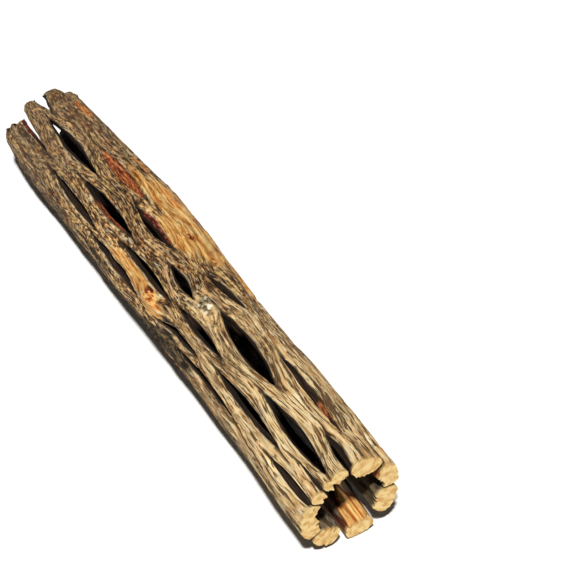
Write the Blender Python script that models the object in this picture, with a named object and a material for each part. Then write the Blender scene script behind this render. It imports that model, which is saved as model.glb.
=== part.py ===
"""Cholla cactus skeleton: one dry, hollow tube of woody net, lying on its side.

The wood is one body. It is modelled as a sheet of grain lines, wrapped into a tube,
slit wherever a lens-shaped window opens, and given its wall inwards. The grain lines
part round each window and close again past its tips, as the fibres of the plant do.
The log lies along X with its sawn end at +X, its axis level, and Z is up.
"""

import math
from collections import namedtuple

import bmesh
import bpy
import numpy as np

MM = 0.001

# Driving dimensions
LENGTH = 252 * MM
RADIUS = 20 * MM
WALL_ABOVE = 5.2 * MM
WALL_BELOW = 7.6 * MM
WORN_END_TAPER = 2.0 * MM      # how much slimmer the worn end is than the rest
WORN_END_REACH = 12 * MM
SAWN_END_TAPER = 0.5 * MM
SIDEWAYS_BOW = 0.8 * MM
SWELL = 0.35 * MM              # slow rise and fall of the outside
REST_FLAT = 1.2 * MM           # depth worn flat where the log lies

# The sheet of grain lines: columns run along the log, rows go round it
COLUMNS = 40
ROWS = 56
COLUMN_STEP = 2 * math.pi / COLUMNS
ROW_STEP = LENGTH / ROWS

# How a window moves the wood beside it
REACH = math.radians(43)       # angle past which the grain runs straight
REACH_FADE = 1.5
MENDING_REACH = 5              # grid steps over which the grid is eased to a window's true place
EDGE_DROP = 1.2 * MM           # outer edge of a window, rounded down
EDGE_RISE = 1.1 * MM           # inner edge of a window, rounded up
FURROW = 1.25                  # the rounding runs on past the tips by this factor

# Angles are in degrees from the top, turning towards +Y. Stations are in millimetres
# from the worn end. share is the inner opening's width over the outer one's, lean the
# angle by which the inner opening is shifted, and tilt turns the window's tips.
Window = namedtuple("Window", "angle start end width tilt share lean", defaults=(0, 0.8, 0))

WINDOWS = [
    # The upper side, as the photograph shows it
    Window(-44.6, -35, 38, 5.2, -5.5),
    Window(-11, -14, 20.5, 7.4),
    Window(26, -9, 13, 3.2),
    Window(-19, 25, 67, 6.4, 1, 0.6, 1),
    Window(9, 54, 93, 6.6, 1, 0.2, -4),
    Window(-62, 45, 90, 5.0, -1),
    Window(-34, 66, 107, 6.4, 0.5, 0.75, 2),
    Window(-4.4, 94, 124, 5.9, 0, 0.6, -4),
    Window(-74.5, 84, 129, 4.6, -3),
    Window(-46, 104, 145, 4.8, 1, 0.8, 2),
    Window(-20.5, 131, 151, 5.0, -2),
    Window(15, 144, 168, 4.7, 7),
    Window(-68, 143, 171, 4.4, 6),
    Window(-40.4, 149, 181, 4.6, 1),
    Window(-9.5, 164, 206, 8.0, -2, 0.9),
    Window(-79.5, 156, 203, 4.8, 3),
    Window(-52.3, 182, 228, 5.0),
    Window(17, 192, 234, 4.6, -2, 0.3),
    Window(-27.5, 206, 249.5, 6.8, -1, 0.9),
    Window(-2, 234, 256, 4.6, -3, 0.7),
    Window(-43, 236, 264, 1.8, 0, 1.2),
    Window(-66, 225, 258, 4.2, 2),
    # The far side and the underside, out of the photograph's view
    Window(66, -20, 24, 5.4),
    Window(54, 40, 76, 6.0, 3),
    Window(93, 16, 60, 6.6),
    Window(96, 85, 122, 6.0, -3),
    Window(53, 149, 188, 6.2, 2),
    Window(90, 152, 200, 6.6),
    Window(45, 235, 264, 3.2, 0, 1.5),
    Window(91, 230, 266, 2.6),
    Window(114, -22, 12, 5.4),
    Window(120, 30, 66, 6.2, 2),
    Window(124, 100, 134, 6.0, -3),
    Window(122, 186, 222, 6.0),
    Window(172, 10, 45, 6.4),
    Window(154, 86, 108, 4.8, 3),
    Window(164, 140, 174, 5.6),
    Window(151, 184, 222, 4.8),
    Window(140, 228, 286, 6.6),
    Window(-165, -24, 22, 5.6),
    Window(-163, 52, 92, 6.4, -3),
    Window(-158, 122, 162, 6.6, 2),
    Window(-167, 200, 286, 6.6),
    Window(-140, 16, 60, 6.2),
    Window(-136, 84, 124, 6.6, -2),
    Window(-126, 140, 180, 6.0, 3),
    Window(-123, 222, 266, 3.0),
    Window(-120, -22, 12, 5.0),
    Window(-108, 112, 148, 5.4, -2),
]

# Branch scars stand proud of the wood, and bare strands lie below it. Sizes in millimetres
Swelling = namedtuple("Swelling", "angle station half_length half_width height")
SWELLINGS = [
    Swelling(-10, 156, 7, 7, 1.6),
    Swelling(52, 108, 42, 13, 1.7),
    Swelling(42, 42, 16, 8, -1.2),
    Swelling(26, 22, 7, 3, -0.9),
    Swelling(46, 18, 14, 12, -0.9),
    Swelling(-62, 136, 7, 5, 1.5),
    Swelling(-59, 118, 14, 5, -1.6),
    Swelling(-75, 152, 6, 6, -1.4),
    Swelling(142, 38, 8, 6, 1.4),
    Swelling(-143, 191, 9, 7, 1.2),
]

# How much further into the hollow some struts of the sawn end reach, in millimetres
Strut = namedtuple("Strut", "angle half_width extra_depth")
STRUTS = [
    Strut(20, 17, 3.0),
    Strut(62, 12, 2.0),
    Strut(99, 13, 3.2),
    Strut(-28, 12, -0.8),
    Strut(168, 18, -1.6),
]
STRUT_REACH = 26 * MM

# Each finger of the worn end has broken at its own length: angle, shortfall in millimetres
Finger = namedtuple("Finger", "angle shortfall")
FINGERS = [
    Finger(-100, 0.5),
    Finger(-76, 5.5),
    Finger(-60, 10.0),
    Finger(-30, 6.3),
    Finger(10, 6.3),
    Finger(42, 6.5),
    Finger(88, 3.0),
    Finger(128, 0.0),
    Finger(168, 2.0),
    Finger(-135, 1.5),
]
FINGER_SPREAD = math.radians(24)
FINGER_ROWS = 3
FINGER_ROUNDING = 1.3 * MM

WOOD_COLOUR = (0.42, 0.29, 0.16, 1)
WOOD_ROUGHNESS = 0.85


def turn_between(a, b):
    """The angle from b to a, by the shorter way round."""
    return (a - b + math.pi) % (2 * math.pi) - math.pi


def smooth(x):
    x = np.clip(x, 0, 1)
    return x * x * (3 - 2 * x)


def lens(t):
    """A window's half width from its middle, at 0, to its pointed tips, at -1 and 1."""
    return np.clip(1 - t * t, 0, 1) ** 0.9


class Slit:
    """A window laid on the grid of columns and rows."""

    def __init__(self, window):
        self.angle = math.radians(window.angle)
        self.tilt = math.radians(window.tilt)
        self.lean = math.radians(window.lean)
        self.share = window.share
        self.half_angle = window.width / 2 * MM / RADIUS
        self.column = round(self.angle / COLUMN_STEP) % COLUMNS
        self.start, self.end = window.start * MM, window.end * MM
        self.first = round(self.start / ROW_STEP)
        self.last = round(self.end / ROW_STEP)

    def along(self, row):
        """-1 at the first row of the slit and 1 at the last one."""
        return (2 * row - self.first - self.last) / (self.last - self.first)

    def away(self, column):
        return turn_between(column * COLUMN_STEP, self.column * COLUMN_STEP)

    def push(self, column, row, side, inner):
        """How far this window's opening turns the grain lines aside."""
        away = self.away(column)
        towards = np.where(np.abs(away) < 1e-6, side, np.sign(away))
        width = self.half_angle * np.where(inner, self.share, 1) * lens(self.along(row))
        return towards * width * np.clip(1 - np.abs(away) / REACH, 0, 1) ** REACH_FADE

    def mending(self, row, inner):
        """The turn and slide that bring the slit from its grid line to its true place."""
        t = np.clip(self.along(row), -1, 1)
        centre = self.angle + self.tilt * t + np.where(inner, self.lean, 0)
        pushed = sum(other.push(self.column, row, 0, inner) for other in SLITS if other is not self)
        turn = turn_between(centre, self.column * COLUMN_STEP) - pushed
        at_start = self.start - self.first * ROW_STEP
        at_end = self.end - self.last * ROW_STEP
        return turn, at_start + (at_end - at_start) * (t + 1) / 2


SLITS = [Slit(window) for window in WINDOWS]


def opened(column, row, side, inner):
    """Angle and station of grid points once every window has opened."""
    pushed = sum(slit.push(column, row, side, inner) for slit in SLITS)
    turn, slide, total = 0, 0, 0.05
    for slit in SLITS:
        beyond = np.clip(np.maximum(slit.first - row, row - slit.last), 0, None)
        distance = (slit.away(column) / COLUMN_STEP) ** 2 + beyond ** 2
        weight = np.clip(1 - distance / MENDING_REACH ** 2, 0, 1) ** 2 / (distance + 0.02)
        slit_turn, slit_slide = slit.mending(row, inner)
        turn = turn + weight * slit_turn
        slide = slide + weight * slit_slide
        total = total + weight
    inside = smooth(row / 3) * smooth((ROWS - row) / 3)
    return column * COLUMN_STEP + pushed + turn / total, row * ROW_STEP + slide / total * inside


def window_rounding(column, row):
    """From 0 on plain wood to 1 on the edge of an open window."""
    most = np.zeros_like(row)
    for slit in SLITS:
        away = np.abs(slit.away(column)) / COLUMN_STEP
        depth = np.sqrt(lens(slit.along(row) / FURROW)) * np.clip(1 - away / 1.8, 0, 1) ** 1.6
        most = np.maximum(most, depth * min(1, 0.3 + slit.share))
    return most


def swelling_height(angle, station):
    total = SWELL * (np.sin(3 * angle + station / (19 * MM)) + np.sin(2 * angle - station / (27 * MM) + 2))
    for swelling in SWELLINGS:
        around = turn_between(angle, math.radians(swelling.angle)) * RADIUS / (swelling.half_width * MM)
        along = (station - swelling.station * MM) / (swelling.half_length * MM)
        total = total + swelling.height * MM * np.exp(-(around ** 2) - along ** 2)
    return total


def finger_shortfall(angle):
    """How far the worn end stops short of the log's full length at these angles."""
    away = np.array([np.abs(turn_between(angle, math.radians(finger.angle))) for finger in FINGERS])
    shortfall = np.array([finger.shortfall for finger in FINGERS])[np.argmin(away, axis=0)]
    return (shortfall + 1.5 * (np.min(away, axis=0) / FINGER_SPREAD) ** 2) * MM


def wall(angle, station):
    """Thickness of the wall: more below than above, with the deep struts of the sawn end."""
    thickness = WALL_ABOVE + (WALL_BELOW - WALL_ABOVE) * (1 - np.cos(angle)) / 2
    thickness = thickness + 0.4 * MM * np.sin(2 * angle + station / (17 * MM))
    near_cut = np.exp(-(LENGTH - station) / STRUT_REACH)
    for strut in STRUTS:
        around = turn_between(angle, math.radians(strut.angle)) / math.radians(strut.half_width)
        thickness = thickness + strut.extra_depth * MM * near_cut * np.exp(-(around ** 2))
    return thickness


def place(column, row, side, inner):
    """Where grid points lie in space, on the outside or the inside of the wall."""
    angle, station = opened(column, row, side, inner)
    rounding = window_rounding(column, row)
    taper = WORN_END_TAPER * np.exp(-station / WORN_END_REACH) + SAWN_END_TAPER * (station / LENGTH) ** 2
    radius = RADIUS - taper + swelling_height(angle, station)
    radius = radius + np.where(inner, EDGE_RISE * rounding - wall(angle, station), -EDGE_DROP * rounding)
    worn = np.clip(1 - row / FINGER_ROWS, 0, 1)
    station = station + finger_shortfall(angle) * worn
    radius = radius + FINGER_ROUNDING * np.where(inner, 1, -1) * np.clip(1 - row, 0, 1)
    bow = SIDEWAYS_BOW * np.sin(math.pi * station / LENGTH)
    return np.stack([station - LENGTH / 2, radius * np.sin(angle) + bow, radius * np.cos(angle)], axis=1)


def make_sheet():
    """The tube of grain lines, with its column and row kept on each point."""
    sheet = bmesh.new()
    bmesh.ops.create_cone(sheet, cap_ends=False, segments=COLUMNS, radius1=1, radius2=1, depth=ROWS)
    lengthwise = [edge for edge in sheet.edges if edge.calc_length() > ROWS / 2]
    bmesh.ops.subdivide_edges(sheet, edges=lengthwise, cuts=ROWS - 1, use_grid_fill=True)
    columns = sheet.verts.layers.int.new("column")
    rows = sheet.verts.layers.int.new("row")
    for vert in sheet.verts:
        vert[columns] = round(math.atan2(vert.co.y, vert.co.x) / COLUMN_STEP) % COLUMNS
        vert[rows] = round(vert.co.z + ROWS / 2)
    return sheet, columns, rows


def cut_slits(sheet, columns, rows):
    """Parts the sheet along each window's grain line, and marks the side each point is left on."""
    cuts = {(slit.column, row) for slit in SLITS for row in range(slit.first, slit.last)}
    run = []
    for edge in sheet.edges:
        low, high = sorted(edge.verts, key=lambda vert: vert[rows])
        if low[columns] == high[columns] and (low[columns], low[rows]) in cuts:
            run.append(edge)
    bmesh.ops.split_edges(sheet, edges=run)
    sides = sheet.verts.layers.int.new("side")
    for vert in sheet.verts:
        own = vert[columns] * COLUMN_STEP
        middles = [face.calc_center_median() for face in vert.link_faces]
        found = {1 if turn_between(math.atan2(point.y, point.x), own) > 0 else -1 for point in middles}
        vert[sides] = found.pop() if len(found) == 1 else 0
    return sides


def settle(mesh):
    """Wears the log flat where it lies, and brings the middle of its underside to the origin."""
    floor = min(vert.co.z for vert in mesh.verts) + REST_FLAT
    for vert in mesh.verts:
        vert.co.z = max(vert.co.z, floor)
    xs = [vert.co.x for vert in mesh.verts]
    ys = [vert.co.y for vert in mesh.verts]
    middle = ((min(xs) + max(xs)) / 2, (min(ys) + max(ys)) / 2, floor)
    bmesh.ops.translate(mesh, verts=mesh.verts, vec=[-value for value in middle])


def wood_material():
    material = bpy.data.materials.new("dry_cholla_wood")
    material.use_nodes = True
    shader = material.node_tree.nodes["Principled BSDF"]
    shader.inputs["Base Color"].default_value = WOOD_COLOUR
    shader.inputs["Roughness"].default_value = WOOD_ROUGHNESS
    shader.inputs["Metallic"].default_value = 0
    return material


def make_skeleton():
    sheet, columns, rows = make_sheet()
    sides = cut_slits(sheet, columns, rows)
    made = bmesh.ops.extrude_face_region(sheet, geom=list(sheet.faces), use_keep_orig=True)
    inside = {item for item in made["geom"] if isinstance(item, bmesh.types.BMVert)}
    keys = [(vert[columns], vert[rows], vert[sides], vert in inside) for vert in sheet.verts]
    column, row, side, inner = (np.array(values) for values in zip(*keys))
    for vert, point in zip(sheet.verts, place(column, row.astype(float), side, inner)):
        vert.co = point
    settle(sheet)
    bmesh.ops.recalc_face_normals(sheet, faces=sheet.faces)
    bmesh.ops.triangulate(sheet, faces=sheet.faces)
    mesh = bpy.data.meshes.new("cholla_skeleton")
    sheet.to_mesh(mesh)
    sheet.free()
    mesh.materials.append(wood_material())
    mesh.shade_smooth()
    mesh.set_sharp_from_angle(angle=math.radians(40))
    skeleton = bpy.data.objects.new("cholla_skeleton", mesh)
    bpy.context.scene.collection.objects.link(skeleton)


for leftover in list(bpy.data.objects):
    bpy.data.objects.remove(leftover)
make_skeleton()
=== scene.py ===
"""Looks of the cholla cactus skeleton: its weathered wood, the floor, the light and the camera.

The wood is built again from the same grain lines and windows as the solid, on a finer grid,
with the relief and the colours that follow the grain round each window.
"""

import math
from collections import namedtuple

import bmesh
import bpy
import numpy as np
from mathutils import Matrix, Vector, noise


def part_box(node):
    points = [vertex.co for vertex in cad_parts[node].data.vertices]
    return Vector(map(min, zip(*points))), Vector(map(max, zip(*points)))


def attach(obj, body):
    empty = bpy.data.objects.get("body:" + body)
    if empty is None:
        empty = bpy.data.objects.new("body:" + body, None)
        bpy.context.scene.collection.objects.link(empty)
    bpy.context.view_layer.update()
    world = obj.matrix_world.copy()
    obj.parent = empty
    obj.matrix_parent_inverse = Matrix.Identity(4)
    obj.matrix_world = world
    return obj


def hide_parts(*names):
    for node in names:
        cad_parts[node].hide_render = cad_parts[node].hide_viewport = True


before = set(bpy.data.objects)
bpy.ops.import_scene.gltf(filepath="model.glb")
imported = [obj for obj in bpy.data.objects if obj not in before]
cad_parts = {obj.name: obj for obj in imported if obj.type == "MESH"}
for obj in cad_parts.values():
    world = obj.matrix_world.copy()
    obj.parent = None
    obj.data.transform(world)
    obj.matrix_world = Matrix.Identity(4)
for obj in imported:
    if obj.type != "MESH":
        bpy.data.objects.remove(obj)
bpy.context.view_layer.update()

MM = 0.001

# Driving dimensions, as in the solid
LENGTH = 252 * MM
RADIUS = 20 * MM
WALL_ABOVE = 5.2 * MM
WALL_BELOW = 7.6 * MM
WORN_END_TAPER = 2.0 * MM
WORN_END_REACH = 12 * MM
SAWN_END_TAPER = 0.5 * MM
SIDEWAYS_BOW = 0.8 * MM
SWELL = 0.35 * MM
WALL_WAVE = 0.4 * MM
REST_FLAT = 1.2 * MM           # how much wood is worn away where the log lies

# The solid's sheet of grain lines, and how finely each of its steps is divided here
COLUMNS = 40
ROWS = 56
COLUMN_STEP = 2 * math.pi / COLUMNS
ROW_STEP = LENGTH / ROWS
SAME_LINE = 1e-6               # a turn smaller than this is none
FINE_ACROSS = 5
FINE_ALONG = 3
WALL_CUTS = 4

# How a window moves the wood beside it
LENS_POWER = 0.9               # 1 would make a window's outline two plain parabolas
REACH = math.radians(43)
REACH_FADE = 1.5
MENDING_REACH = 5              # in grid steps
MENDING_BLUNTNESS = 0.02       # keeps a window's pull finite at its own points
GRID_HOLD = 0.05               # how firmly points far from any window keep their place
END_ROWS = 3                   # rows at either end over which points stop sliding along the log
EDGE_DROP = 1.2 * MM
EDGE_RISE = 1.1 * MM
EDGE_SPREAD = 1.8              # how far the rounding reaches, in columns
EDGE_CRISPNESS = 2.6           # higher keeps the rounding closer to the window
LEAST_ROUNDING = 0.3           # for a window that doesn't open into the hollow
FURROW = 1.25                  # the rounding runs on past the tips by this factor
WALL_BULGE = 0.6 * MM          # how far the middle of a wall stands into its window
WALL_ROUGHNESS = 0.35 * MM
BULGING_WIDTH = 4 * MM         # windows narrower than this bulge less

# Relief of the fine surface
RIDGE_HEIGHT = 0.50 * MM
FURROW_DEPTH = 0.50 * MM
FURROW_WIDTH = 0.22            # where the noise is nearer to 0 than this, a furrow sinks in
INSIDE_ROUGHNESS = 0.55 * MM
OUTLINE_WANDER = math.radians(0.9)
TORN_EDGE = 2.2 * MM
TORN_ROWS = 1.5                # how many rows from the cut its inner edge is torn
CREASE_DEPTH = 0.7 * MM        # cracks that run on from the windows' tips
CREASE_REACH = 0.55            # in half lengths of the window
CREASE_LEAD = 0.3              # the share of its reach by which a crack starts before the tip
CREASE_WIDTH = 0.42            # in columns of the grid
SHARPEST_SMOOTHED = math.radians(42)  # edges that turn more than this are shaded as sharp

Window = namedtuple("Window", "angle start end width tilt share lean", defaults=(0, 0.8, 0))

# Angles, tilts and leans are in degrees and turn from the top towards +Y. Stations, counted from the
# worn end, and widths are in millimetres. A window's share is the inner opening's width over the outer
# one's, and its lean is how far the inner opening is turned on from the outer one
WINDOWS = [
    # The upper side, as the photograph shows it
    Window(-44.6, -35, 38, 5.2, -5.5),
    Window(-11, -14, 20.5, 7.4),
    Window(26, -9, 13, 3.2),
    Window(-19, 25, 67, 6.4, 1, 0.6, 1),
    Window(9, 54, 93, 6.6, 1, 0.2, -4),
    Window(-62, 45, 90, 5.0, -1),
    Window(-34, 66, 107, 6.4, 0.5, 0.75, 2),
    Window(-4.4, 94, 124, 5.9, 0, 0.6, -4),
    Window(-74.5, 84, 129, 4.6, -3),
    Window(-46, 104, 145, 4.8, 1, 0.8, 2),
    Window(-20.5, 131, 151, 5.0, -2),
    Window(15, 144, 168, 4.7, 7),
    Window(-68, 143, 171, 4.4, 6),
    Window(-40.4, 149, 181, 4.6, 1),
    Window(-9.5, 164, 206, 8.0, -2, 0.9),
    Window(-79.5, 156, 203, 4.8, 3),
    Window(-52.3, 182, 228, 5.0),
    Window(17, 192, 234, 4.6, -2, 0.3),
    Window(-27.5, 206, 249.5, 6.8, -1, 0.9),
    Window(-2, 234, 256, 4.6, -3, 0.7),
    Window(-43, 236, 264, 1.8, 0, 1.2),
    Window(-66, 225, 258, 4.2, 2),
    # The far side and the underside, out of the photograph's view
    Window(66, -20, 24, 5.4),
    Window(54, 40, 76, 6.0, 3),
    Window(93, 16, 60, 6.6),
    Window(96, 85, 122, 6.0, -3),
    Window(53, 149, 188, 6.2, 2),
    Window(90, 152, 200, 6.6),
    Window(45, 235, 264, 3.2, 0, 1.5),
    Window(91, 230, 266, 2.6),
    Window(114, -22, 12, 5.4),
    Window(120, 30, 66, 6.2, 2),
    Window(124, 100, 134, 6.0, -3),
    Window(122, 186, 222, 6.0),
    Window(172, 10, 45, 6.4),
    Window(154, 86, 108, 4.8, 3),
    Window(164, 140, 174, 5.6),
    Window(151, 184, 222, 4.8),
    Window(140, 228, 286, 6.6),
    Window(-165, -24, 22, 5.6),
    Window(-163, 52, 92, 6.4, -3),
    Window(-158, 122, 162, 6.6, 2),
    Window(-167, 200, 286, 6.6),
    Window(-140, 16, 60, 6.2),
    Window(-136, 84, 124, 6.6, -2),
    Window(-126, 140, 180, 6.0, 3),
    Window(-123, 222, 266, 3.0),
    Window(-120, -22, 12, 5.0),
    Window(-108, 112, 148, 5.4, -2),
]

# Branch scars stand proud of the wood, and bare strands lie below it. Sizes in millimetres
Swelling = namedtuple("Swelling", "angle station half_length half_width height")
SWELLINGS = [
    Swelling(-10, 156, 7, 7, 1.6),
    Swelling(52, 108, 42, 13, 1.7),
    Swelling(42, 42, 16, 8, -1.2),
    Swelling(26, 22, 7, 3, -0.9),
    Swelling(46, 18, 14, 12, -0.9),
    Swelling(-62, 136, 7, 5, 1.5),
    Swelling(-59, 118, 14, 5, -1.6),
    Swelling(-75, 152, 6, 6, -1.4),
    Swelling(142, 38, 8, 6, 1.4),
    Swelling(-143, 191, 9, 7, 1.2),
]

# How much further into the hollow some struts of the sawn end reach, in millimetres
Strut = namedtuple("Strut", "angle half_width extra_depth")
STRUTS = [
    Strut(20, 17, 3.0),
    Strut(62, 12, 2.0),
    Strut(99, 13, 3.2),
    Strut(-28, 12, -0.8),
    Strut(168, 18, -1.6),
]
STRUT_REACH = 26 * MM

# Each finger of the worn end has broken at its own length: angle, shortfall in millimetres
Finger = namedtuple("Finger", "angle shortfall")
FINGERS = [
    Finger(-100, 0.5),
    Finger(-76, 5.5),
    Finger(-60, 10.0),
    Finger(-30, 6.3),
    Finger(10, 6.3),
    Finger(42, 6.5),
    Finger(88, 3.0),
    Finger(128, 0.0),
    Finger(168, 2.0),
    Finger(-135, 1.5),
]
FINGER_SPREAD = math.radians(24)
FINGER_ROWS = 3
FINGER_CURVE = 1.5             # millimetres by which a finger's corners fall back
FINGER_ROUNDING = 1.3 * MM

# Patches of colour: angle, station, half width in degrees, half length in millimetres
Patch = namedtuple("Patch", "angle station half_width half_length")
BARE_PATCHES = [
    Patch(38, 106, 20, 28),
    Patch(22, 88, 8, 16),
    Patch(12, 120, 13, 14),
    Patch(30, 132, 16, 12),
    Patch(56, 140, 12, 16),
    Patch(-61, 118, 10, 15),
    Patch(-65, 138, 11, 9),
]
ORANGE_PATCHES = [
    Patch(38, 97, 4.5, 11),
    Patch(45, 133, 5, 4),
    Patch(-62, 140, 5, 4),
    Patch(40, 68, 5, 8),
    Patch(29, 25, 8, 7),
]
RUST_PATCHES = [
    Patch(22.5, 122, 4, 3.5),
    Patch(25, 139, 3, 3),
    Patch(45, 134, 3, 3),
    Patch(-59, 135.5, 9, 5.5),
    Patch(31, 26, 3, 4),
]

# Stains on the walls of windows, below the surface
ORANGE_WALLS = [
    Patch(11, 72, 14, 26),
    Patch(-41, 92, 4, 14),
    Patch(17, 224, 7, 5),
    Patch(66, 249, 18, 4),
]
RUST_WALLS = [
    Patch(2, 108, 7, 16),
    Patch(-56, 16, 6, 12),
    Patch(17, 64, 4, 9),
    Patch(5, 82, 3, 9),
]
# The bottom strut's inner face by the cut: red-brown wood, brightened towards the cut as painted light
BROWN_AND_LIT_END_WALLS = [Patch(165, 251, 30, 20)]
SCAR_PATCHES = [Patch(-16.5, 159, 9, 3.8)]
# Painted shade: dark patches beside the windows of the near side, where the wood lies in shade
PAINTED_SHADE_PATCHES = [
    Patch(-76, 149, 9, 4),
    Patch(-65, 149, 6, 5),
    Patch(-63, 161, 4, 13),
    Patch(-90, 152, 11, 20),
    Patch(-88, 92, 5, 14),
    Patch(-72, 106, 3, 9),
]
PALE_PATCHES = [
    Patch(-48.3, 139.3, 4, 1.5),
    Patch(-13.8, 156.9, 3, 1.3),
    Patch(-21.7, 162.4, 3, 1.3),
]
DULL_FROM = 90                 # stations over which the worn tips lose their contrast
DULL_TO = 30
HOLLOW_LIT_FROM = 200               # stations over which the hollow turns from painted black shade to brown painted light
HOLLOW_LIT_TO = 228
UNDERSIDE_SHADE_FROM = 94            # degrees from the top at which the painted shade of the underside begins
UNDERSIDE_SHADE_TO = 122
GREY_FROM = 208                # stations over which the grey of the worn half gives way to tan
GREY_TO = 150

# The light and the floor
LIGHT_LEVEL = 1.5              # on the top of the log, where 1 shows white paper as just white
SKY_STRENGTH = 0.03
FLOOR_COLOUR = (0.81, 0.80, 0.785, 1)
FLOOR_HALF_WIDTH = 3           # metres

# The photograph's camera, in the part's frame
CAMERA_PLACE = Vector((467.1, -225.7, 488.3)) * MM
CAMERA_AZIMUTH = math.radians(59.65)
CAMERA_ELEVATION = math.radians(42.23)
CAMERA_LENS = 113.8            # millimetres, on a sensor 36 mm wide


def turn_between(a, b):
    """The angle from b to a, by the shorter way round."""
    return (a - b + math.pi) % (2 * math.pi) - math.pi


def smooth(x):
    x = np.clip(x, 0, 1)
    return x * x * (3 - 2 * x)


def lens(t):
    """A window's half width from its middle, at 0, to its pointed tips, at -1 and 1."""
    return np.clip(1 - t * t, 0, 1) ** LENS_POWER


class Slit:
    """A window laid on the grid of columns and rows."""

    def __init__(self, window):
        self.angle = math.radians(window.angle)
        self.tilt = math.radians(window.tilt)
        self.lean = math.radians(window.lean)
        self.share = window.share
        self.half_angle = window.width / 2 * MM / RADIUS
        self.column = round(self.angle / COLUMN_STEP) % COLUMNS
        self.start, self.end = window.start * MM, window.end * MM
        self.first = round(self.start / ROW_STEP)
        self.last = round(self.end / ROW_STEP)

    def along(self, row):
        """-1 at the first row of the slit and 1 at the last one."""
        return (2 * row - self.first - self.last) / (self.last - self.first)

    def away(self, column):
        return turn_between(column * COLUMN_STEP, self.column * COLUMN_STEP)

    def push(self, column, row, side, inner):
        """How far this window's opening turns the grain lines aside."""
        away = self.away(column)
        towards = np.where(np.abs(away) < SAME_LINE, side, np.sign(away))
        width = self.half_angle * (self.share if inner else 1) * lens(self.along(row))
        return towards * width * np.clip(1 - np.abs(away) / REACH, 0, 1) ** REACH_FADE

    def mending(self, row, inner):
        """The turn and slide that bring the slit from its grid line to its true place."""
        t = np.clip(self.along(row), -1, 1)
        centre = self.angle + self.tilt * t + (self.lean if inner else 0)
        pushed = sum(other.push(self.column, row, 0, inner) for other in SLITS if other is not self)
        turn = turn_between(centre, self.column * COLUMN_STEP) - pushed
        at_start = self.start - self.first * ROW_STEP
        at_end = self.end - self.last * ROW_STEP
        return turn, at_start + (at_end - at_start) * (t + 1) / 2


SLITS = [Slit(window) for window in WINDOWS]
FINE_ROWS = np.arange(ROWS * FINE_ALONG + 1) / FINE_ALONG


def opened(column, row, side, inner):
    """Angle and station of grid points once every window has opened."""
    pushed = sum(slit.push(column, row, side, inner) for slit in SLITS)
    index = np.rint(row * FINE_ALONG).astype(int)
    turn, slide, total = 0, 0, GRID_HOLD
    for slit in SLITS:
        beyond = np.clip(np.maximum(slit.first - row, row - slit.last), 0, None)
        distance = (slit.away(column) / COLUMN_STEP) ** 2 + beyond ** 2
        weight = np.clip(1 - distance / MENDING_REACH ** 2, 0, 1) ** 2 / (distance + MENDING_BLUNTNESS)
        slit_turn, slit_slide = slit.mending(FINE_ROWS, inner)
        turn = turn + weight * slit_turn[index]
        slide = slide + weight * slit_slide[index]
        total = total + weight
    free = smooth(row / END_ROWS) * smooth((ROWS - row) / END_ROWS)
    return column * COLUMN_STEP + pushed + turn / total, row * ROW_STEP + slide / total * free


def opening_width(column, row):
    """How wide the window is on whose grain line a point lies, and 0 elsewhere."""
    widest = np.zeros_like(row)
    for slit in SLITS:
        width = 2 * slit.half_angle * RADIUS * lens(slit.along(row))
        widest = np.maximum(widest, np.where(np.abs(slit.away(column)) < SAME_LINE, width, 0))
    return widest


def window_rounding(column, row):
    """From 0 on plain wood to 1 on the edge of an open window."""
    most = np.zeros_like(row)
    for slit in SLITS:
        away = np.abs(slit.away(column)) / COLUMN_STEP
        across = np.clip(1 - away / EDGE_SPREAD, 0, 1) ** EDGE_CRISPNESS
        depth = np.sqrt(lens(slit.along(row) / FURROW)) * across
        most = np.maximum(most, depth * min(1, LEAST_ROUNDING + slit.share))
    return most


def crease(column, row):
    """From 0 to 1 along the cracks that run on from the windows' tips."""
    most = np.zeros_like(row)
    for slit in SLITS:
        away = np.abs(slit.away(column)) / COLUMN_STEP
        beyond = (np.abs(slit.along(row)) - 1) / CREASE_REACH
        depth = smooth(1 - beyond) * smooth(1 - away / CREASE_WIDTH)
        most = np.maximum(most, depth * (beyond > -CREASE_LEAD))
    return most


def swelling_height(angle, station):
    """How far the surface stands above the plain round log: low waves, scars and bare strands."""
    total = SWELL * (np.sin(3 * angle + station / (19 * MM)) + np.sin(2 * angle - station / (27 * MM) + 2))
    for swelling in SWELLINGS:
        around = turn_between(angle, math.radians(swelling.angle)) * RADIUS / (swelling.half_width * MM)
        along = (station - swelling.station * MM) / (swelling.half_length * MM)
        total = total + swelling.height * MM * np.exp(-(around ** 2) - along ** 2)
    return total


def finger_shortfall(angle):
    """How far the worn end stops short of the log's full length at these angles."""
    away = np.array([np.abs(turn_between(angle, math.radians(finger.angle))) for finger in FINGERS])
    shortfall = np.array([finger.shortfall for finger in FINGERS])[np.argmin(away, axis=0)]
    return (shortfall + FINGER_CURVE * (np.min(away, axis=0) / FINGER_SPREAD) ** 2) * MM


def wall(angle, station):
    """Thickness of the wall: more below than above, with the deep struts of the sawn end."""
    thickness = WALL_ABOVE + (WALL_BELOW - WALL_ABOVE) * (1 - np.cos(angle)) / 2
    thickness = thickness + WALL_WAVE * np.sin(2 * angle + station / (17 * MM))
    near_cut = np.exp(-(LENGTH - station) / STRUT_REACH)
    for strut in STRUTS:
        around = turn_between(angle, math.radians(strut.angle)) / math.radians(strut.half_width)
        thickness = thickness + strut.extra_depth * MM * near_cut * np.exp(-(around ** 2))
    return thickness


def grain_noise(grain, across, along, shift=0):
    """Noise from -1 to 1 that follows the grain, with blots of a size across and along it in metres."""
    scaled = grain / np.array([across, across, along]) + shift
    return np.array([noise.noise(Vector(point)) for point in scaled])


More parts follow.
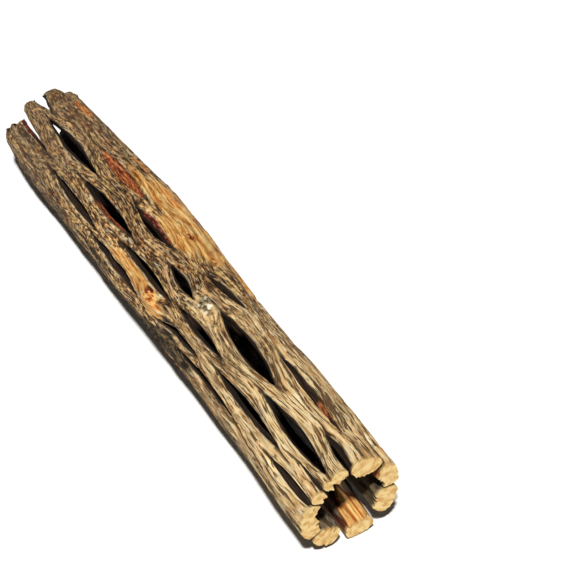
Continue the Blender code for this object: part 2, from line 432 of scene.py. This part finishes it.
class Skin:
    """The outer or inner side of the wall: where each grid point lies, its angle and its station."""

    def __init__(self, column, row, side, grain, inner):
        self.angle, self.station = opened(column, row, side, inner)
        self.angle = self.angle + OUTLINE_WANDER * grain_noise(grain, across=5 * MM, along=7 * MM, shift=4)
        rounding = window_rounding(column, row)
        taper = WORN_END_TAPER * np.exp(-self.station / WORN_END_REACH)
        taper = taper + SAWN_END_TAPER * (self.station / LENGTH) ** 2
        radius = RADIUS - taper + swelling_height(self.angle, self.station)
        rounded_end = np.clip(1 - row, 0, 1)
        near_cut = smooth((row - ROWS + TORN_ROWS) / TORN_ROWS)
        if inner:
            radius = radius + EDGE_RISE * rounding - wall(self.angle, self.station)
            radius = radius + FINGER_ROUNDING * rounded_end
            rough = grain_noise(grain, across=2.2 * MM, along=7 * MM, shift=9)
            torn = grain_noise(grain, across=1.7 * MM, along=9 * MM, shift=21)
            radius = radius + INSIDE_ROUGHNESS * rough
            radius = radius + TORN_EDGE * near_cut * torn
        else:
            radius = radius - EDGE_DROP * rounding - FINGER_ROUNDING * rounded_end
            radius = radius - CREASE_DEPTH * crease(column, row)
            radius = radius + RIDGE_HEIGHT * grain_noise(grain, across=2.4 * MM, along=22 * MM)
            furrows = np.abs(grain_noise(grain, across=1.7 * MM, along=14 * MM, shift=3))
            radius = radius - FURROW_DEPTH * (1 - smooth(furrows / FURROW_WIDTH))
        self.station = self.station + finger_shortfall(self.angle) * np.clip(1 - row / FINGER_ROWS, 0, 1)
        bow = SIDEWAYS_BOW * np.sin(math.pi * self.station / LENGTH)
        across = radius * np.sin(self.angle) + bow
        self.points = np.stack([self.station - LENGTH / 2, across, radius * np.cos(self.angle)], axis=1)


class Net:
    """Every point of the wood from the outer skin, at depth 0, to the inner one, at depth 1."""

    def __init__(self, column, row, side, depth):
        self.column = column
        self.row = row
        self.depth = depth
        around = column * COLUMN_STEP
        thick = RADIUS - depth * WALL_BELOW
        self.grain = np.stack([thick * np.cos(around), thick * np.sin(around), row * ROW_STEP], axis=1)
        outside = Skin(column, row, side, self.grain, inner=False)
        inside = Skin(column, row, side, self.grain, inner=True)
        points = outside.points + (inside.points - outside.points) * depth[:, None]
        self.angle = outside.angle + turn_between(inside.angle, outside.angle) * depth
        self.station = outside.station + (inside.station - outside.station) * depth
        rough = grain_noise(self.grain, across=1.4 * MM, along=5 * MM, shift=13)
        ragged = WALL_BULGE + WALL_ROUGHNESS * rough
        wide = np.clip(opening_width(column, row) / BULGING_WIDTH, 0, 1)
        swing = -side * ragged * wide * np.sin(math.pi * depth)
        sideways = [0 * swing, swing * np.cos(self.angle), -swing * np.sin(self.angle)]
        self.points = points + np.stack(sideways, axis=1)


def make_sheet():
    """The tube of grain lines, with each point's column and row kept in the solid's grid steps."""
    sheet = bmesh.new()
    segments = COLUMNS * FINE_ACROSS
    bmesh.ops.create_cone(sheet, cap_ends=False, segments=segments, radius1=1, radius2=1, depth=ROWS)
    lengthwise = [edge for edge in sheet.edges if edge.calc_length() > ROWS / 2]
    bmesh.ops.subdivide_edges(sheet, edges=lengthwise, cuts=ROWS * FINE_ALONG - 1, use_grid_fill=True)
    columns = sheet.verts.layers.float.new("column")
    rows = sheet.verts.layers.float.new("row")
    for vert in sheet.verts:
        turned = math.atan2(vert.co.y, vert.co.x) / COLUMN_STEP
        vert[columns] = round(turned * FINE_ACROSS) % segments / FINE_ACROSS
        vert[rows] = round((vert.co.z + ROWS / 2) * FINE_ALONG) / FINE_ALONG
    return sheet, columns, rows


def cut_slits(sheet, columns, rows):
    """Parts the sheet along each window's grain line, and marks the side each point is left on."""
    cuts = {
        (slit.column, row)
        for slit in SLITS
        for row in range(slit.first * FINE_ALONG, slit.last * FINE_ALONG)
    }
    run = []
    for edge in sheet.edges:
        low, high = sorted(edge.verts, key=lambda vert: vert[rows])
        if low[columns] == high[columns] and (low[columns], round(low[rows] * FINE_ALONG)) in cuts:
            run.append(edge)
    bmesh.ops.split_edges(sheet, edges=run)
    sides = sheet.verts.layers.float.new("side")
    for vert in sheet.verts:
        own = vert[columns] * COLUMN_STEP
        middles = [face.calc_center_median() for face in vert.link_faces]
        found = {1 if turn_between(math.atan2(point.y, point.x), own) > 0 else -1 for point in middles}
        vert[sides] = found.pop() if len(found) == 1 else 0
    return sides


def thicken(sheet):
    """Gives the sheet its inner skin, and cuts the wall between the two into steps of depth."""
    depths = sheet.verts.layers.float.new("depth")
    made = bmesh.ops.extrude_face_region(sheet, geom=list(sheet.faces), use_keep_orig=True)
    for item in made["geom"]:
        if isinstance(item, bmesh.types.BMVert):
            item[depths] = 1
    through = [edge for edge in sheet.edges if edge.verts[0][depths] != edge.verts[1][depths]]
    bmesh.ops.subdivide_edges(sheet, edges=through, cuts=WALL_CUTS, use_grid_fill=True)
    return depths


def settle(sheet):
    """Wears the log flat where it lies, and brings the middle of its underside to the origin."""
    floor = min(vert.co.z for vert in sheet.verts) + REST_FLAT
    for vert in sheet.verts:
        vert.co.z = max(vert.co.z, floor)
    low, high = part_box("cholla_skeleton")
    xs = [vert.co.x for vert in sheet.verts]
    ys = [vert.co.y for vert in sheet.verts]
    middle = Vector(((min(xs) + max(xs)) / 2, (min(ys) + max(ys)) / 2, floor))
    target = Vector(((low[0] + high[0]) / 2, (low[1] + high[1]) / 2, low[2]))
    bmesh.ops.translate(sheet, verts=sheet.verts, vec=target - middle)


def patch_strength(patches, angle, station):
    """From 0 outside the patches to 1 in the middle of one."""
    most = np.zeros_like(angle)
    for patch in patches:
        around = turn_between(angle, math.radians(patch.angle)) / math.radians(patch.half_width)
        along = (station - patch.station * MM) / (patch.half_length * MM)
        most = np.maximum(most, np.exp(-(around ** 2) - along ** 2))
    return most


def keep_numbers(mesh, name, values):
    """Stores one number for each point of the mesh, for the materials to read."""
    layer = mesh.attributes.new(name, "FLOAT", "POINT")
    layer.data.foreach_set("value", np.asarray(values, dtype=np.float32))


def way_between(value, start, end):
    """0 where the value is at the start and 1 where it is at the end."""
    return (value - start) / (end - start)


def keep_looks(mesh, net):
    """Stores where each point lies in the wood, and which colours and marks reach it."""
    layer = mesh.attributes.new("grain", "FLOAT_VECTOR", "POINT")
    layer.data.foreach_set("vector", net.grain.astype(np.float32).ravel())
    station = net.station / MM
    degrees = np.degrees(np.abs(turn_between(net.angle, 0)))
    blotch = grain_noise(net.grain, across=6 * MM, along=18 * MM, shift=31)
    speckle = grain_noise(net.grain, across=2 * MM, along=6 * MM, shift=41)
    keep_numbers(mesh, "depth", net.depth)
    keep_numbers(mesh, "greyed", smooth(way_between(station, GREY_FROM, GREY_TO) + 0.5 * blotch))
    # Each kind of patch with how far it spreads. The noise makes its edge uneven
    for name, patches, strength in (
        ("bare", BARE_PATCHES, 2.9),
        ("orange", ORANGE_PATCHES, 2.2),
        ("rust", RUST_PATCHES, 2.2),
        ("orange_wall", ORANGE_WALLS, 2.4),
        ("rust_wall", RUST_WALLS, 2.2),
        ("brown_and_lit_end_wall", BROWN_AND_LIT_END_WALLS, 2.0),
        ("painted_shade", PAINTED_SHADE_PATCHES, 2.5),
    ):
        strongest = strength * patch_strength(patches, net.angle, net.station)
        keep_numbers(mesh, name, smooth(strongest - 0.6 + 0.5 * blotch + 0.6 * speckle))
    keep_numbers(mesh, "scar", patch_strength(SCAR_PATCHES, net.angle, net.station))
    keep_numbers(mesh, "pale", patch_strength(PALE_PATCHES, net.angle, net.station))
    keep_numbers(mesh, "dull", smooth(way_between(station, DULL_FROM, DULL_TO) + 0.3 * blotch))
    # Painted light in the hollow near the sawn end
    lit_near_cut = smooth(way_between(station, HOLLOW_LIT_FROM, HOLLOW_LIT_TO))
    keep_numbers(mesh, "lit_near_cut", lit_near_cut * smooth(2 * net.depth - 1))
    # Painted shade: darker towards the underside
    underside = way_between(degrees, UNDERSIDE_SHADE_FROM, UNDERSIDE_SHADE_TO)
    keep_numbers(mesh, "underside", smooth(underside + 0.3 * blotch))
    keep_numbers(mesh, "window_edge", window_rounding(net.column, net.row))
    keep_numbers(mesh, "sawn", net.row > ROWS - 0.01)
    keep_numbers(mesh, "crease", crease(net.column, net.row))


def make_wood():
    """The whole skeleton: net, walls, worn fingers and sawn end, as one closed mesh."""
    sheet, columns, rows = make_sheet()
    sides = cut_slits(sheet, columns, rows)
    depths = thicken(sheet)
    keys = [(vert[columns], vert[rows], vert[sides], vert[depths]) for vert in sheet.verts]
    column, row, side, depth = (np.array(values) for values in zip(*keys))
    net = Net(column, row, np.sign(side), depth)
    for vert, point in zip(sheet.verts, net.points):
        vert.co = point
    settle(sheet)
    bmesh.ops.recalc_face_normals(sheet, faces=sheet.faces)
    mesh = bpy.data.meshes.new("cholla_wood")
    sheet.to_mesh(mesh)
    sheet.free()
    for name in ("column", "row", "side", "depth"):
        mesh.attributes.remove(mesh.attributes[name])
    keep_looks(mesh, net)
    mesh.shade_smooth()
    mesh.set_sharp_from_angle(angle=SHARPEST_SMOOTHED)
    wood = bpy.data.objects.new("cholla_wood", mesh)
    bpy.context.scene.collection.objects.link(wood)
    return wood


def seen(red, green, blue):
    """The paint that reads as this colour, from 0 to 255, on the lit top of the log."""
    parts = [value / 255 for value in (red, green, blue)]
    linear = [part / 12.92 if part <= 0.04045 else ((part + 0.055) / 1.055) ** 2.4 for part in parts]
    return (*[part / LIGHT_LEVEL for part in linear], 1)


def add(tree, kind, inputs=None, **settings):
    """Adds a node, sets it up, and joins or fills the inputs that are named."""
    node = tree.nodes.new(kind)
    for name, value in settings.items():
        setattr(node, name, value)
    for name, value in (inputs or {}).items():
        if isinstance(value, bpy.types.NodeSocket):
            tree.links.new(value, node.inputs[name])
        else:
            node.inputs[name].default_value = value
    return node


def kept(tree, name):
    """A number stored on the mesh's points."""
    return add(tree, "ShaderNodeAttribute", attribute_name=name).outputs["Fac"]


def grain_pattern(tree, across, along, detail=3, roughness=0.55):
    """Noise from 0 to 1 drawn out along the grain, with blots of this many millimetres."""
    grain = add(tree, "ShaderNodeAttribute", attribute_name="grain").outputs["Vector"]
    scale = (1 / (across * MM), 1 / (across * MM), 1 / (along * MM))
    stretched = add(tree, "ShaderNodeMapping", {"Vector": grain, "Scale": scale}).outputs["Vector"]
    inputs = {"Vector": stretched, "Scale": 1, "Detail": detail, "Roughness": roughness}
    return add(tree, "ShaderNodeTexNoise", inputs).outputs["Fac"]


def step(tree, value, low, high):
    """From 0 at low to 1 at high, smoothly. Either of the two may be the larger number."""
    inputs = {"Value": value, "From Min": low, "From Max": high}
    return add(tree, "ShaderNodeMapRange", inputs, interpolation_type="SMOOTHSTEP").outputs["Result"]


def maths(tree, operation, a, b):
    """One calculation with two numbers or sockets."""
    node = add(tree, "ShaderNodeMath", operation=operation)
    for socket, value in zip(node.inputs, (a, b)):
        if isinstance(value, bpy.types.NodeSocket):
            tree.links.new(value, socket)
        else:
            socket.default_value = value
    return node.outputs["Value"]


def times(tree, a, b):
    return maths(tree, "MULTIPLY", a, b)


def less(tree, a, b):
    """What is left of a when b is taken away."""
    return maths(tree, "SUBTRACT", a, b)


def mixed(tree, patterns, low=0, high=1):
    """A weighted sum of patterns, stretched so that low becomes 0 and high becomes 1."""
    total = 0.0
    for pattern, share in patterns:
        total = maths(tree, "ADD", total, times(tree, pattern, share))
    inputs = {"Value": total, "From Min": low, "From Max": high}
    return add(tree, "ShaderNodeMapRange", inputs).outputs["Result"]


def blend(tree, factor, below, above, mode="MIX"):
    """Lays one colour over another, as strongly as the factor says."""
    node = add(tree, "ShaderNodeMix", data_type="RGBA", blend_type=mode, clamp_factor=True)
    for index, value in ((0, factor), (6, below), (7, above)):
        if isinstance(value, bpy.types.NodeSocket):
            tree.links.new(value, node.inputs[index])
        else:
            node.inputs[index].default_value = value
    return node.outputs[2]


def ramp(tree, value, stops):
    """Colours along a value: a list of places from 0 to 1 with the colour there."""
    node = add(tree, "ShaderNodeValToRGB", {"Fac": value})
    elements = node.color_ramp.elements
    while len(elements) < len(stops):
        elements.new(0.5)
    for element, (place, colour) in zip(elements, stops):
        element.position = place
        element.color = colour
    return node.outputs["Color"]


class Patterns:
    """The patterns that the wood's colours, cracks and relief are mixed from."""

    def __init__(self, tree):
        self.streaks = grain_pattern(tree, across=1.2, along=18, detail=3)
        self.dashes = grain_pattern(tree, across=0.7, along=5, detail=2, roughness=0.5)
        self.threads = grain_pattern(tree, across=1.15, along=26, detail=1.5, roughness=0.5)
        self.pits = grain_pattern(tree, across=1.0, along=2.8, detail=2, roughness=0.5)
        self.specks = grain_pattern(tree, across=1.2, along=2.6, detail=2, roughness=0.55)
        self.mottle = grain_pattern(tree, across=2.6, along=7, detail=4, roughness=0.6)
        self.tint = grain_pattern(tree, across=5, along=13, detail=3)
        self.drift = grain_pattern(tree, across=9, along=30, detail=2)
        self.bands = grain_pattern(tree, across=2.8, along=34, detail=3)
        self.rings = grain_pattern(tree, across=2.8, along=80, detail=2)
        self.tone = mixed(tree, [(self.streaks, 0.5), (self.mottle, 0.5)], 0.38, 0.62)
        self.strands = mixed(tree, [(self.streaks, 0.5), (self.threads, 0.5)])


def plain_wood(tree, patterns, greyed):
    """Tan wood that turns to a mottled grey towards the worn end."""
    tan = ramp(tree, patterns.tone, [
        (0.0, seen(176, 130, 78)),
        (0.35, seen(224, 184, 124)),
        (0.65, seen(246, 212, 152)),
        (1.0, seen(255, 240, 196)),
    ])
    mottled = mixed(tree, [(patterns.specks, 0.55), (patterns.mottle, 0.45)], 0.42, 0.58)
    grey = ramp(tree, mottled, [
        (0.0, seen(60, 38, 20)),
        (0.35, seen(138, 98, 56)),
        (0.65, seen(198, 152, 94)),
        (1.0, seen(246, 208, 142)),
    ])
    colour = blend(tree, greyed, tan, grey)
    reddish = maths(tree, "ADD", 0.12, times(tree, greyed, 0.4))
    reddish = times(tree, step(tree, patterns.tint, 0.52, 0.66), reddish)
    colour = blend(tree, reddish, colour, seen(250, 176, 140), "MULTIPLY")
    olive = times(tree, step(tree, patterns.tint, 0.46, 0.36), greyed)
    colour = blend(tree, times(tree, olive, 0.4), colour, seen(206, 214, 160), "MULTIPLY")
    warm = times(tree, step(tree, patterns.drift, 0.5, 0.68), 0.5)
    colour = blend(tree, warm, colour, seen(240, 196, 140), "MULTIPLY")
    shade = times(tree, step(tree, patterns.bands, 0.50, 0.36), 0.62)
    colour = blend(tree, shade, colour, seen(150, 126, 96), "MULTIPLY")
    sheen = times(tree, step(tree, patterns.bands, 0.54, 0.66), 0.45)
    return blend(tree, sheen, colour, seen(248, 220, 168))


def crack_pattern(tree, patterns, greyed, bare):
    """Cracks between the fibres, which turn to pits where the wood is grey. 1 is open."""
    broken_fibres = mixed(tree, [(patterns.dashes, 0.5), (patterns.threads, 0.5)])
    pitted = mixed(tree, [(patterns.pits, 0.7), (patterns.threads, 0.3)])
    rough_grey = times(tree, greyed, less(tree, 1, bare))
    fibre_cracks = step(tree, broken_fibres, 0.475, 0.425)
    cracks = blend(tree, rough_grey, fibre_cracks, step(tree, pitted, 0.46, 0.41))
    fewer = add(tree, "ShaderNodeMapRange", {"Value": bare, "To Min": 0.92, "To Max": 0.5})
    return times(tree, cracks, fewer.outputs["Result"])


def cracked_wood(tree, patterns, greyed, bare, cracks):
    """The plain and the bare golden wood, with their cracks and pale fibres."""
    golden = ramp(tree, patterns.tone, [
        (0.0, seen(170, 98, 36)),
        (0.3, seen(224, 156, 76)),
        (0.65, seen(248, 198, 118)),
        (1.0, seen(255, 228, 164)),
    ])
    colour = blend(tree, bare, plain_wood(tree, patterns, greyed), golden)
    crack_colour = blend(tree, greyed, seen(88, 58, 30), seen(66, 45, 27))
    crack_colour = blend(tree, bare, crack_colour, seen(104, 54, 24))
    colour = blend(tree, cracks, colour, crack_colour)
    fibres = less(tree, 0.65, times(tree, greyed, 0.2))
    fibres = less(tree, fibres, times(tree, bare, 0.35))
    fibres = times(tree, step(tree, patterns.dashes, 0.57, 0.64), fibres)
    colour = blend(tree, fibres, colour, seen(255, 234, 190))
    dull = times(tree, kept(tree, "dull"), 0.42)
    return blend(tree, dull, colour, seen(112, 90, 68))


def marked_wood(tree, patterns, colour):
    """Lays the stains and the branch scar over the wood, and painted shade on patches beside the near
    windows and on the underside.
    """
    orange = ramp(tree, mixed(tree, [(patterns.streaks, 0.6), (patterns.dashes, 0.4)], 0.38, 0.62), [
        (0.0, seen(140, 58, 20)),
        (0.4, seen(212, 116, 48)),
        (1.0, seen(244, 172, 92)),
    ])
    colour = blend(tree, times(tree, kept(tree, "orange"), 0.92), colour, orange)
    rusty = ramp(tree, mixed(tree, [(patterns.specks, 0.6), (patterns.mottle, 0.4)], 0.42, 0.58), [
        (0.0, seen(80, 20, 10)),
        (0.35, seen(160, 54, 26)),
        (0.6, seen(240, 152, 70)),
        (1.0, seen(255, 208, 124)),
    ])
    colour = blend(tree, kept(tree, "rust"), colour, rusty)
    place = add(tree, "ShaderNodeTexCoord").outputs["Object"]
    crumbs = {"Vector": place, "Scale": 1 / (2.3 * MM), "Detail": 1, "Roughness": 0.5}
    scarred = ramp(tree, add(tree, "ShaderNodeTexNoise", crumbs).outputs["Fac"], [
        (0.38, seen(26, 19, 12)),
        (0.47, seen(116, 99, 68)),
        (0.55, seen(186, 166, 122)),
        (0.61, seen(246, 236, 210)),
    ])
    colour = blend(tree, step(tree, kept(tree, "scar"), 0.3, 0.6), colour, scarred)
    colour = blend(tree, step(tree, kept(tree, "pale"), 0.45, 0.75), colour, seen(244, 230, 200))
    shadowed = ramp(tree, patterns.specks, [
        (0.45, seen(28, 21, 14)),
        (0.62, seen(104, 86, 58)),
    ])
    # Painted shade over the patches beside the near windows
    colour = blend(tree, times(tree, kept(tree, "painted_shade"), 0.94), colour, shadowed)
    # Painted shade on the underside
    return blend(tree, times(tree, kept(tree, "underside"), 0.75), colour, seen(48, 34, 22))


def edged_wood(tree, patterns, colour, depth):
    """Paints highlights on the windows' lips, and painted shade along the cracks that run on from their
    tips.
    """
    rim = step(tree, kept(tree, "window_edge"), 0.72, 0.92)
    # Painted highlight along the windows' lips
    lip_highlight = times(tree, rim, step(tree, depth, 0.2, 0.05))
    lip_highlight = times(tree, lip_highlight, step(tree, patterns.dashes, 0.42, 0.56))
    colour = blend(tree, times(tree, lip_highlight, 0.6), colour, seen(240, 220, 178))
    # Painted shade along the cracks that run on from the windows' tips
    crack = times(tree, step(tree, kept(tree, "crease"), 0.35, 0.8), 0.85)
    return blend(tree, crack, colour, seen(40, 27, 16))


def wall_lining(tree, patterns, depth):
    """The windows' walls and the hollow: nearly black as painted shade, with stains, and lighter towards
    the sawn end as painted light.
    """
    # Painted shade: the walls and the hollow are nearly black
    lining = ramp(tree, patterns.streaks, [
        (0.32, seen(18, 11, 7)),
        (0.5, seen(40, 26, 16)),
        (0.66, seen(78, 54, 36)),
    ])
    # Painted light: browner in the hollow near the sawn end, where light reaches in
    lit_near_cut_lining = ramp(tree, patterns.streaks, [
        (0.36, seen(66, 54, 38)),
        (0.62, seen(132, 112, 82)),
    ])
    lining = blend(tree, kept(tree, "lit_near_cut"), lining, lit_near_cut_lining)
    brown_and_lit_end = kept(tree, "brown_and_lit_end_wall")
    brown_lining = ramp(tree, patterns.strands, [
        (0.36, seen(46, 16, 8)),
        (0.5, seen(104, 46, 22)),
        (0.62, seen(158, 84, 42)),
    ])
    # Painted light: bright orange near the cut
    lit_end_lining = ramp(tree, patterns.strands, [
        (0.36, seen(176, 92, 38)),
        (0.48, seen(232, 158, 76)),
        (0.6, seen(250, 206, 128)),
    ])
    lining = blend(tree, step(tree, brown_and_lit_end, 0.05, 0.35), lining, brown_lining)
    lining = blend(tree, step(tree, brown_and_lit_end, 0.5, 0.95), lining, lit_end_lining)
    stained = ramp(tree, mixed(tree, [(patterns.specks, 0.5), (patterns.streaks, 0.5)], 0.40, 0.60), [
        (0.0, seen(70, 28, 14)),
        (0.5, seen(166, 82, 40)),
        (1.0, seen(226, 146, 84)),
    ])
    below_rim = times(tree, kept(tree, "orange_wall"), step(tree, depth, 0.08, 0.24))
    lining = blend(tree, below_rim, lining, stained)
    reddened = ramp(tree, mixed(tree, [(patterns.specks, 0.6), (patterns.streaks, 0.4)], 0.40, 0.60), [
        (0.0, seen(34, 8, 6)),
        (0.6, seen(120, 36, 24)),
        (1.0, seen(210, 130, 96)),
    ])
    shallow = times(tree, kept(tree, "rust_wall"), step(tree, depth, 0.6, 0.35))
    return blend(tree, shallow, lining, reddened)


def weathered_wood():
    """The wood's material, from the weathered surface down into the windows and onto the cut."""
    material = bpy.data.materials.new("weathered_cholla_wood")
    material.use_nodes = True
    tree = material.node_tree
    shader = tree.nodes["Principled BSDF"]
    patterns = Patterns(tree)
    greyed = kept(tree, "greyed")
    bare = kept(tree, "bare")
    depth = kept(tree, "depth")
    sawn = kept(tree, "sawn")
    cracks = crack_pattern(tree, patterns, greyed, bare)

    colour = cracked_wood(tree, patterns, greyed, bare, cracks)
    colour = marked_wood(tree, patterns, colour)
    colour = edged_wood(tree, patterns, colour, depth)
    unevenness = times(tree, less(tree, patterns.mottle, 0.5), 0.35)
    inward = step(tree, maths(tree, "ADD", depth, unevenness), 0.03, 0.16)
    colour = blend(tree, inward, colour, wall_lining(tree, patterns, depth))
    straw = ramp(tree, patterns.rings, [
        (0.36, seen(190, 146, 84)),
        (0.46, seen(206, 170, 108)),
        (0.62, seen(222, 194, 134)),
    ])
    tree.links.new(blend(tree, sawn, colour, straw), shader.inputs["Base Color"])

    roughness = add(tree, "ShaderNodeMapRange", {"Value": bare, "To Min": 0.88, "To Max": 0.6})
    tree.links.new(roughness.outputs["Result"], shader.inputs["Roughness"])
    shader.inputs["Specular IOR Level"].default_value = 0.25

    raised = less(tree, 1, cracks)
    height = mixed(tree, [(raised, 0.35), (patterns.streaks, 0.35), (patterns.mottle, 0.3)])
    uncut = less(tree, 1, times(tree, sawn, 0.85))
    bump = add(tree, "ShaderNodeBump", {"Height": height, "Strength": uncut, "Distance": 1.6 * MM})
    tree.links.new(bump.outputs["Normal"], shader.inputs["Normal"])
    return material


def make_floor():
    """The plain pale floor that the log lies on."""
    sheet = bmesh.new()
    bmesh.ops.create_grid(sheet, x_segments=1, y_segments=1, size=FLOOR_HALF_WIDTH)
    mesh = bpy.data.meshes.new("studio_floor")
    sheet.to_mesh(mesh)
    sheet.free()
    material = bpy.data.materials.new("pale_floor")
    material.use_nodes = True
    shader = material.node_tree.nodes["Principled BSDF"]
    shader.inputs["Base Color"].default_value = FLOOR_COLOUR
    shader.inputs["Roughness"].default_value = 0.9
    mesh.materials.append(material)
    floor = bpy.data.objects.new("studio_floor", mesh)
    bpy.context.scene.collection.objects.link(floor)


def add_light(name, azimuth, elevation, strength, softness, colour=(1, 1, 1)):
    """A distant lamp. Azimuth turns from +X towards +Y, and softness is the angle it fills."""
    lamp = bpy.data.lights.new(name, "SUN")
    lamp.energy = strength
    lamp.angle = math.radians(softness)
    lamp.color = colour
    holder = bpy.data.objects.new(name, lamp)
    away, up = math.radians(azimuth), math.radians(elevation)
    source = Vector((math.cos(away) * math.cos(up), math.sin(away) * math.cos(up), math.sin(up)))
    holder.rotation_euler = source.to_track_quat("Z", "Y").to_euler()
    bpy.context.scene.collection.objects.link(holder)


def light_studio():
    """Soft light from above, with low light into the sawn end and onto the near side."""
    add_light("overhead", azimuth=-35, elevation=66, strength=4.7, softness=5, colour=(1, 0.985, 0.96))
    add_light("end_light", azimuth=-5, elevation=1.2, strength=2.4, softness=2)
    add_light("side_fill", azimuth=-100, elevation=2, strength=0.08, softness=3)
    world = bpy.data.worlds.new("studio")
    world.use_nodes = True
    background = world.node_tree.nodes["Background"]
    background.inputs["Color"].default_value = (1, 1, 1, 1)
    background.inputs["Strength"].default_value = SKY_STRENGTH
    bpy.context.scene.world = world
    bpy.context.scene.view_settings.view_transform = "Standard"


def place_camera():
    """Puts the camera where the photograph was taken from."""
    back = Vector((
        math.sin(CAMERA_AZIMUTH) * math.cos(CAMERA_ELEVATION),
        -math.cos(CAMERA_AZIMUTH) * math.cos(CAMERA_ELEVATION),
        math.sin(CAMERA_ELEVATION),
    ))
    right = Vector((math.cos(CAMERA_AZIMUTH), math.sin(CAMERA_AZIMUTH), 0))
    camera = bpy.data.objects.new("camera", bpy.data.cameras.new("camera"))
    camera.data.lens = CAMERA_LENS
    camera.data.clip_start = 10 * MM
    turned = Matrix((right, back.cross(right), back)).transposed().to_4x4()
    camera.matrix_world = Matrix.Translation(CAMERA_PLACE) @ turned
    bpy.context.scene.collection.objects.link(camera)
    bpy.context.scene.camera = camera


wood = make_wood()
wood.data.materials.append(weathered_wood())
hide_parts("cholla_skeleton")
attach(wood, "root")
make_floor()
light_studio()
place_camera()
